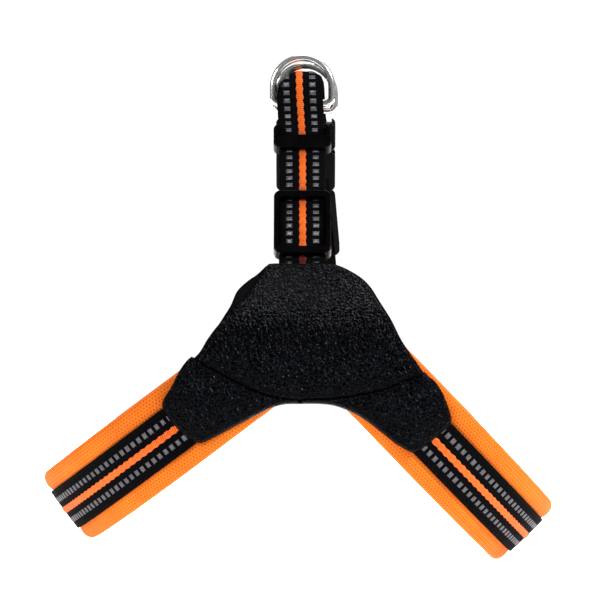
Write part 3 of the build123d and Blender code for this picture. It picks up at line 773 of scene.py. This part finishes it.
def smooth_profile(values, keys):
    """Natural cubic spline through (value, key) pairs, returned as a function of the key."""
    order = np.argsort(keys)
    x = np.asarray(keys, dtype=float)[order]
    y = np.asarray(values, dtype=float)[order]
    n = len(x)
    h = np.diff(x)
    matrix = np.eye(n)
    right = np.zeros(n)
    for i in range(1, n - 1):
        matrix[i, i - 1:i + 2] = h[i - 1], 2 * (h[i - 1] + h[i]), h[i]
        right[i] = 6 * ((y[i + 1] - y[i]) / h[i] - (y[i] - y[i - 1]) / h[i - 1])
    second = np.linalg.solve(matrix, right)

    def value(at):
        at = np.clip(at, x[0] - 6, x[-1] + 6)
        i = np.clip(np.searchsorted(x, at) - 1, 0, n - 2)
        a = x[i + 1] - at
        b = at - x[i]
        return ((second[i] * a**3 + second[i + 1] * b**3) / (6 * h[i])
                + (y[i] / h[i] - second[i] * h[i] / 6) * a + (y[i + 1] / h[i] - second[i + 1] * h[i] / 6) * b)

    return value


panel_depth = smooth_profile([y for y, z in PANEL_FACE], [z for y, z in PANEL_FACE])


def pebbles(points, pitch, seed):
    """Leather grain: a dome per cell, creased where cells meet, from 0 to 1."""
    hashes = np.random.default_rng(seed).uniform(0.12, 0.88, (257, 257, 2))
    cell = np.floor(points / pitch).astype(int)
    near = np.full(len(points), 9.0)
    second = np.full(len(points), 9.0)
    for i in (-1, 0, 1):
        for j in (-1, 0, 1):
            here = cell + (i, j)
            centre = (here + hashes[here[:, 0] % 257, here[:, 1] % 257]) * pitch
            d = np.linalg.norm(points - centre, axis=1) / pitch
            second = np.minimum(second, np.maximum(near, d))
            near = np.minimum(near, d)
    crease = np.clip((second - near) / 0.28, 0, 1)
    return np.sqrt(crease) * (1 - 0.45 * near**2)


def soft_waves(points, scale, seed):
    """Gentle random undulation, about -1 to 1."""
    waves = np.random.default_rng(seed)
    total = np.zeros(len(points))
    for _ in range(7):
        turn, phase, size = waves.uniform(0, 6.28), waves.uniform(0, 6.28), scale * waves.uniform(0.6, 1.6)
        total += np.sin((points @ [np.cos(turn), np.sin(turn)]) * 6.28 / size + phase)
    return total / 3.5


def rounded(distance, radius):
    """Quarter-round profile: 0 at the edge, 1 from radius inward."""
    return np.sqrt(1 - (1 - np.clip(distance / radius, 0, 1)) ** 2)


def shell_piece(name, loop, step, front, back, material, body="root"):
    """Closed shell between a front and a back surface y(points, distance) over an outline."""
    points, faces, distance = fill_outline(loop, step)
    count = len(points)
    y_front = front(points, distance)
    y_back = back(points, distance)
    low = np.stack([points[:, 0], y_front, points[:, 1]], axis=1)
    high = np.stack([points[:, 0], y_back, points[:, 1]], axis=1)
    edge_count = {}
    for face in faces:
        for a, b in zip(face, face[1:] + face[:1]):
            edge_count[(a, b)] = edge_count.get((a, b), 0) + 1
    border = [e for e in edge_count if (e[1], e[0]) not in edge_count]
    # the outline runs clockwise or not as it pleases, so faces are turned to look out at -Y
    a, b, c = (points[i] for i in faces[0][:3])
    turned = (b[0] - a[0]) * (c[1] - a[1]) - (b[1] - a[1]) * (c[0] - a[0]) > 0
    shell = []
    for face in faces:
        face = face if turned else face[::-1]
        shell.append(face)
        shell.append(tuple(i + count for i in face[::-1]))
    for a, b in border:
        wall = (b, a, a + count, b + count)
        shell.append(wall if turned else wall[::-1])
    made = make_object(name, np.concatenate([low, high]), shell, material)
    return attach(made, body)


def mirrored(piece, name, shift=0.0, body="root"):
    """The same piece on the dog's right side."""
    mesh = piece.data.copy()
    mesh.name = name
    count = len(mesh.vertices)
    where = np.empty(count * 3)
    mesh.vertices.foreach_get("co", where)
    where = where.reshape(-1, 3) * (1, -1, 1) + (shift * MM, 0, 0)
    mesh.vertices.foreach_set("co", where.ravel())
    mesh.flip_normals()
    made = bpy.data.objects.new(name, mesh)
    bpy.context.scene.collection.objects.link(made)
    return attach(made, body)


def edge_stitches(name, loop, front, inset=2.6, pitch=3.1, length=2.1, radius=0.22):
    """Thread lying in the groove just inside a leather edge."""
    ahead = np.roll(loop, -1, axis=0) - np.roll(loop, 1, axis=0)
    normal = np.stack([-ahead[:, 1], ahead[:, 0]], axis=1) / np.linalg.norm(ahead, axis=1)[:, None]
    area = (loop[:, 0] * np.roll(loop[:, 1], -1) - np.roll(loop[:, 0], -1) * loop[:, 1]).sum()
    path = loop + normal * (inset if area > 0 else -inset)
    path = path[edge_distance(path, loop) > inset - 0.08]
    run = np.concatenate([[0], np.cumsum(np.linalg.norm(np.diff(path, axis=0), axis=1))])
    ring = np.linspace(0, 2 * np.pi, 6, endpoint=False)
    points, faces = [], []
    for k in range(int(run[-1] / pitch)):
        at = (k + 0.5) * pitch + np.array([-0.5, -0.36, 0.0, 0.36, 0.5]) * length
        spots = np.stack([np.interp(at, run, path[:, 0]), np.interp(at, run, path[:, 1])], axis=1)
        doubled_back = np.linalg.norm(spots[-1] - spots[0]) < 0.6 * length
        if doubled_back or np.linalg.norm(np.diff(spots, axis=0), axis=1).max() > length:
            continue
        depth = front(spots, edge_distance(spots, loop)) - np.array([-0.25, 0.1, 0.16, 0.1, -0.25])
        side = spots[-1] - spots[0]
        side = np.array([-side[1], side[0]]) / np.linalg.norm(side)
        start = len(points)
        for spot, y, thin in zip(spots, depth, (0.5, 1, 1, 1, 0.5)):
            for turn in ring:
                across = spot + side * np.cos(turn) * radius * thin
                points.append((across[0], y - np.sin(turn) * radius * thin, across[1]))
        faces += thread_faces(start)
    made = make_object(name, points, faces, THREAD)
    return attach(made, "root")


def make_plate():
    """Leather panel, two leather caps and the padded lining of the left plate; the right mirrors it."""
    made = {}
    loop = outline_loop(PANEL_EDGES, 0.6)

    def panel_front(p, d):
        base = panel_depth(p[:, 1])
        roll = rounded(d, 2.6)
        puff = 1.2 * (1 - np.exp(-d / 6.0)) - 0.3 * np.exp(-((d - 2.6) / 0.6) ** 2)
        grain = 0.3 * pebbles(p, 2.4, 3) * np.clip(d / 1.5, 0, 1)
        return base + 1.9 - 1.9 * roll - puff - grain - 0.35 * soft_waves(p, 26, 5) * np.clip(d / 8, 0, 1)

    def panel_back(p, d):
        return panel_depth(p[:, 1]) + 1.9 + 1.3 * rounded(d, 1.4)

    made["plate_leather"] = shell_piece("left_plate_leather", loop, 0.62, panel_front, panel_back, LEATHER)
    threads = {"plate": edge_stitches("left_plate_stitching", loop, panel_front)}

    caps = (("chest", CHEST, CHEST_CAP_EDGES, 11), ("belly", BELLY, BELLY_CAP_EDGES, 12))
    for label, band, edges, seed in caps:
        loop = outline_loop(edges, 0.6)

        def cap_front(p, d):
            base = np.minimum(band.face_depth(p[:, 0], p[:, 1], 8.0), panel_depth(p[:, 1]) + 1.0)
            puff = 1.6 * (1 - np.exp(-d / 5.0)) - 0.35 * np.exp(-((d - 2.6) / 0.6) ** 2)
            grain = 0.3 * pebbles(p, 2.4, seed) * np.clip(d / 1.5, 0, 1)
            return base + 2.3 - 2.3 * rounded(d, 3.0) - puff - grain - 0.3 * soft_waves(p, 22, seed)

        def cap_back(p, d):
            return band.face_depth(p[:, 0], p[:, 1], 5.0) - 0.6 * (1 - rounded(d, 1.0))

        made[f"{label}_cap_leather"] = shell_piece(
            f"left_{label}_cap_leather", loop, 0.62, cap_front, cap_back, LEATHER)
        threads[f"{label}_cap"] = edge_stitches(f"left_{label}_cap_stitching", loop, cap_front)

    def lining_face(p, lift):
        base = panel_depth(p[:, 1]) + LEATHER_THICK + lift
        for band in (CHEST, BELLY):
            rel = np.stack([p[:, 0] - JUNCTION_X, p[:, 1]], axis=1)
            u = rel @ band.along
            w = rel @ band.up
            over = np.clip((26.5 - np.abs(w)) / 3, 0, 1) * np.clip((u - 24.5) / 3, 0, 1)
            under = band.face_depth(p[:, 0], p[:, 1], -3.4) + lift * 0.2
            base = np.maximum(base, base + (under - base) * over)
        return base

    def lining_front(p, d):
        return lining_face(p, 0.5) + 0.9 * (1 - rounded(d, 1.5))

    def lining_back(p, d):
        puff = 4.6 * rounded(d, 5.0) ** 1.3
        return lining_face(p, 1.0) + puff + 0.25 * soft_waves(p, 30, 9)

    made["plate_lining"] = shell_piece(
        "left_plate_lining", outline_loop(LINING_EDGES, 1.0), 1.5, lining_front, lining_back, LINING)

    for label, piece in threads.items():
        mirrored(piece, f"right_{label}_stitching")
    for label, piece in made.items():
        other = mirrored(piece, f"right_{label}")
        for side, item in (("left", piece), ("right", other)):
            if label == "plate_leather":
                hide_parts(f"{side}_shoulder_panel")
            elif label == "plate_lining":
                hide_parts(f"{side}_shoulder_foam", f"{side}_shoulder_lining")
            else:
                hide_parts(f"{side}_{label.replace('_leather', '')}")


make_plate()


# ---------------------------------------------------------------- back strap
class Route:
    """A webbing path in the (y, z) plane with rounded corners, walked by length."""

    def __init__(self, corners, radii, step=0.4):
        corners = [np.array(c, dtype=float) for c in corners]
        line = [corners[0]]
        for before, here, after, radius in zip(corners, corners[1:], corners[2:], radii):
            a = (before - here) / np.linalg.norm(before - here)
            b = (after - here) / np.linalg.norm(after - here)
            half = np.arccos(np.clip(a @ b, -1, 1)) / 2
            cut = radius / np.tan(half)
            centre = here + (a + b) / np.linalg.norm(a + b) * radius / np.sin(half)
            start, end = here + a * cut, here + b * cut
            first = np.arctan2(*(start - centre)[::-1])
            sweep = (np.arctan2(*(end - centre)[::-1]) - first + np.pi) % (2 * np.pi) - np.pi
            for t in np.linspace(0, 1, max(5, int(abs(sweep) * radius / 0.3))):
                turn = first + sweep * t
                line.append(centre + radius * np.array([np.cos(turn), np.sin(turn)]))
        line.append(corners[-1])
        line = np.array(line)
        run = np.concatenate([[0], np.cumsum(np.linalg.norm(np.diff(line, axis=0), axis=1))])
        keep = np.concatenate([[True], np.diff(run) > 1e-6])
        line, run = line[keep], run[keep]
        self.length = float(run[-1])
        self.at = np.arange(0, self.length + step, step)
        self.line = np.stack([np.interp(self.at, run, line[:, k]) for k in (0, 1)], axis=1)
        tangent = np.gradient(self.line, axis=0)
        padded = [np.pad(tangent[:, k], 2, mode="edge") for k in (0, 1)]
        smooth = np.stack([np.convolve(side, np.ones(5) / 5, "valid") for side in padded], axis=1)
        self.tangent = smooth / np.linalg.norm(smooth, axis=1)[:, None]

    def frame_at(self, s):
        """Point, tangent and outward normal (left of travel) at length s."""
        point = np.array([np.interp(s, self.at, self.line[:, k]) for k in (0, 1)])
        tangent = np.array([np.interp(s, self.at, self.tangent[:, k]) for k in (0, 1)])
        tangent /= np.linalg.norm(tangent)
        return point, tangent, np.array([-tangent[1], tangent[0]])


def on_left(distance, lift=0.0):
    """(y, z) on the left strap line, at a distance up it and a lift away from the dog."""
    return STRAP_FOOT + UP_STRAP * distance + np.array([-UP_STRAP[1], UP_STRAP[0]]) * lift


def on_right(distance, lift=0.0):
    """(y, z) on the right strap line."""
    y, z = on_left(distance, lift)
    return np.array([-y, z])


CROWN_MIDDLE = 124.5        # arch of the fold inside the rings: centre height and radius
CROWN_RADIUS = 13.5
TUCK = 6.0
FOLD_LINE = FOLD_TOP - WEB_THICK / 2
NEAR_TAIL = 9.0

near_route = Route(
    [on_left(-TUCK), STRAP_KNEE, (-FOLD_RADIUS, FOLD_LINE), (FOLD_RADIUS, FOLD_LINE), (9.0, 112.0),
     on_right(87.4), on_right(87.4, -5.6), on_right(87.4 + NEAR_TAIL, -5.6)],
    (KNEE_RADIUS, 8.9, 8.9, KNEE_RADIUS, 2.6, 2.6),
)


def lean(z):
    """Sideways lean of the strap above the keeper."""
    t = np.clip((z - 90) / 46, 0, 1)
    return -1.9 * t * t * (3 - 2 * t)


def slider_bulge(from_middle, w):
    """Webbing bows over the slider's centre bar and dips behind its end bars."""
    rise = 1.75 * np.exp(-(from_middle / 7.5) ** 2) * (1 - 0.25 * (w / 12.5) ** 2)
    return rise - 0.25 * np.exp(-((abs(from_middle) - 17.5) / 3.5) ** 2)


def place_near(s, w, h):
    """Near strap, fold and far layer."""
    point, tangent, normal = near_route.frame_at(s)
    up_left = s - TUCK
    bulge = slider_bulge(up_left - SLIDER_AT, w)
    cup = -0.25 * (w / 12.5) ** 2
    point = point + normal * (h + bulge + cup)
    y, z = point
    x = w + lean(z) * (1 if y < 9 else max(0.0, 1 - (y - 9) / 6))
    if s > near_route.length / 2:
        x += RIGHT_SHIFT * np.clip((y - 2) / 10, 0, 1)
    radius = CROWN_RADIUS - (WEB_THICK / 2 - h)
    reach = radius**2 - (x - 0.8) ** 2
    limit = CROWN_MIDDLE + np.sqrt(reach) if reach > 0 else CROWN_MIDDLE
    if z > limit and abs(y) < 14:
        z = limit + (z - limit) * 0.06
    return np.array([x, y, z])


def blend_strap(piece):
    """Strap piece with its placement baked into its mesh."""
    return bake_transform(piece)


SHADED_RUNS = [(0.0, 12.5), (45.9, 50.5), (77.3, 86.3)]   # under the slider's and keeper's bars


def bar_shade(s):
    """Painted shade of the strap's pattern: full under a bar, fading beside it, a little everywhere."""
    gap = min(max(low - s, s - high, 0.0) for low, high in SHADED_RUNS)
    return 0.12 + 0.7 * np.exp(-gap / 2.6) if gap else 0.99


half_web = WEB_THICK / 2
near = make_strip(
    "back_strap_webbing", place_near, near_route.length, -half_web, half_web, STRAP_WIDTH, WEBBING, step=0.8)
blend_strap(near)
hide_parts("left_back_strap", "top_strap")
pattern = dress_webbing(
    "back_strap", place_near, 3.0, near_route.length - 17.0, half_web, STRAP_WEAVE, None, bar_shade)
for piece in pattern:
    blend_strap(piece)

right_route = Route(
    [on_right(-TUCK), on_right(57.2), on_right(57.2, -5.4), on_right(48.5, -5.4)],
    (2.5, 2.5),
)


def lean_back(point):
    """Turn a point of the right strap in the strap's plane about the buckle, as in the CAD model."""
    turn = np.radians(RIGHT_LEAN)
    pivot = np.array([RIGHT_SHIFT, *on_right(LEAN_AT)])
    up = np.array([0.0, -UP_STRAP[0], UP_STRAP[1]])
    out = np.array([0.0, UP_STRAP[1], UP_STRAP[0]])
    side, rise, lift = (point - pivot) @ np.stack([[1.0, 0.0, 0.0], up, out], axis=1)
    new_side = side * np.cos(turn) - rise * np.sin(turn)
    new_rise = side * np.sin(turn) + rise * np.cos(turn)
    return pivot + np.array([new_side, 0, 0]) + up * new_rise + out * lift


def place_right(s, w, h):
    """Right back strap, up to and round the buckle's bar."""
    point, tangent, normal = right_route.frame_at(s)
    bulge = slider_bulge(s - TUCK - SLIDER_AT - RIGHT_SLIDER_RAISE, w)
    point = point - normal * (h + bulge - 0.25 * (w / 12.5) ** 2)
    fanned = w * (1 + 0.045 * np.clip((s - TUCK - 50.0) / 4.0, 0, 1))
    return lean_back(np.array([-fanned + RIGHT_SHIFT, point[0], point[1]]))


right_strap = make_strip(
    "right_strap_webbing", place_right, right_route.length, -half_web, half_web, STRAP_WIDTH, WEBBING,
    step=0.8)
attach(right_strap, "root")
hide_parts("right_back_strap")
dress_webbing("right_strap", place_right, 3.0, right_route.length - 14.0, half_web, STRAP_WEAVE)


# ---------------------------------------------------------------- sewn ends round the sliders' centre bars
def make_tab(side, raised):
    """Webbing end looped round a slider's hidden centre bar and sewn to itself."""
    at = SLIDER_AT + raised
    route = Route(
        [(at + 19.8, -1.6), (at - 3.1, -1.6), (at - 3.1, -4.6), (at + 4.4, -4.6), (at + 8.4, -2.7),
         (at + 19.8, -2.7)],
        (1.4, 1.4, 2.0, 2.0),
    )

    def place(s, w, h):
        point, tangent, normal = route.frame_at(s)
        point = point + normal * h
        if side == "left":
            return np.array([w, *on_left(point[0], point[1])])
        return lean_back(np.array([-w + RIGHT_SHIFT, *on_right(point[0], point[1])]))

    tab = make_strip(f"{side}_sewn_end", place, route.length, -0.45, 0.45, WEB_WIDTH - 0.4, WEBBING, step=0.7)
    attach(tab, f"{side}_adjuster")
    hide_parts(f"{side}_slider_tab")


make_tab("left", 0.0)
make_tab("right", RIGHT_SLIDER_RAISE)


# ---------------------------------------------------------------- hardware from the CAD model
FINISHES = {
    "left_slider": PLASTIC, "right_slider": PLASTIC, "strap_keeper": PLASTIC, "buckle_socket": PLASTIC,
    "buckle_plug": PLASTIC, "front_prong": PLASTIC, "rear_prong": PLASTIC,
    "front_d_ring": CHROME, "rear_d_ring": CHROME,
}
for label, finish in FINISHES.items():
    node_mesh = bpy.data.objects[label].data
    node_mesh.materials.clear()
    node_mesh.materials.append(finish)


# ---------------------------------------------------------------- stage, light and camera
def make_stage():
    """Pale floor that runs back from just in front of the harness."""
    floor_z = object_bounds()[0][2] - 0.0006
    material, tree, shader = new_material("pale_backdrop", (0.93, 0.93, 0.93), 0.85, specular=0.1)
    # the floor's own light keeps it white in the bands' shade
    shader.inputs["Emission Color"].default_value = (1, 1, 1, 1)
    shader.inputs["Emission Strength"].default_value = 0.75
    profile = [(-0.32, 0.0), (0.55, 0.0), (1.9, 0.0)]
    points = [(x, y, floor_z + z) for y, z in profile for x in (-2.6, 2.6)]
    faces = [(2 * i, 2 * i + 1, 2 * i + 3, 2 * i + 2) for i in range(len(profile) - 1)]
    mesh = bpy.data.meshes.new("backdrop")
    mesh.from_pydata(points, [], faces)
    mesh.polygons.foreach_set("use_smooth", [True] * len(faces))
    mesh.materials.append(material)
    made = bpy.data.objects.new("backdrop", mesh)
    bpy.context.scene.collection.objects.link(made)
    made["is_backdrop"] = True


def make_light(name, where, size, power, target=(0.0, 0.0, 0.0), spread=180.0):
    """Soft rectangular studio light aimed at a point, with its beam's full angle."""
    data = bpy.data.lights.new(name, "AREA")
    data.shape = "RECTANGLE"
    data.size, data.size_y = size
    data.energy = power
    data.spread = np.radians(spread)
    made = bpy.data.objects.new(name, data)
    made.location = where
    made.rotation_euler = (Vector(target) - Vector(where)).to_track_quat("-Z", "Y").to_euler()
    bpy.context.scene.collection.objects.link(made)


make_stage()
make_light("key_light", (1.3, -0.75, 1.0), (0.3, 0.3), 33)
make_light("left_light", (-1.3, -0.9, 0.7), (0.6, 0.6), 17)
make_light("rim_light", (0.3, 0.55, 1.4), (1.4, 0.4), 14)
make_light("backdrop_light", (0.0, 0.35, 1.7), (2.4, 0.5), 34, (0.0, 1.1, 0.2), 75.0)

world = bpy.data.worlds.new("studio")
world.use_nodes = True
world.node_tree.nodes["Background"].inputs["Color"].default_value = (1, 1, 1, 1)
# the world is white to the camera and nearly dark to the harness, which keeps its blacks deep
seen = world.node_tree.nodes.new("ShaderNodeLightPath")
glow = calc(world.node_tree, "MULTIPLY_ADD", seen.outputs["Is Camera Ray"], 1.0, 0.05)
world.node_tree.links.new(glow, world.node_tree.nodes["Background"].inputs["Strength"])
bpy.context.scene.world = world
bpy.context.scene.view_settings.view_transform = "Standard"

CAMERA_TARGET = Vector((-0.0014, 0.0, 0.011))
CAMERA_RANGE = 1.590
camera_data = bpy.data.cameras.new("camera")
camera_data.lens = 172.7
camera_data.sensor_width = 36.0
camera_data.clip_start = 0.05
camera_data.clip_end = 20
camera = bpy.data.objects.new("camera", camera_data)
camera.location = CAMERA_TARGET + Vector((0, -CAMERA_RANGE, 0))
camera.rotation_euler = (CAMERA_TARGET - camera.location).to_track_quat("-Z", "Y").to_euler()
bpy.context.scene.collection.objects.link(camera)
bpy.context.scene.camera = camera

boxes = {"cad": cad_box, "visual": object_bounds()}
{name: [list(corner) for corner in box] for name, box in boxes.items()}
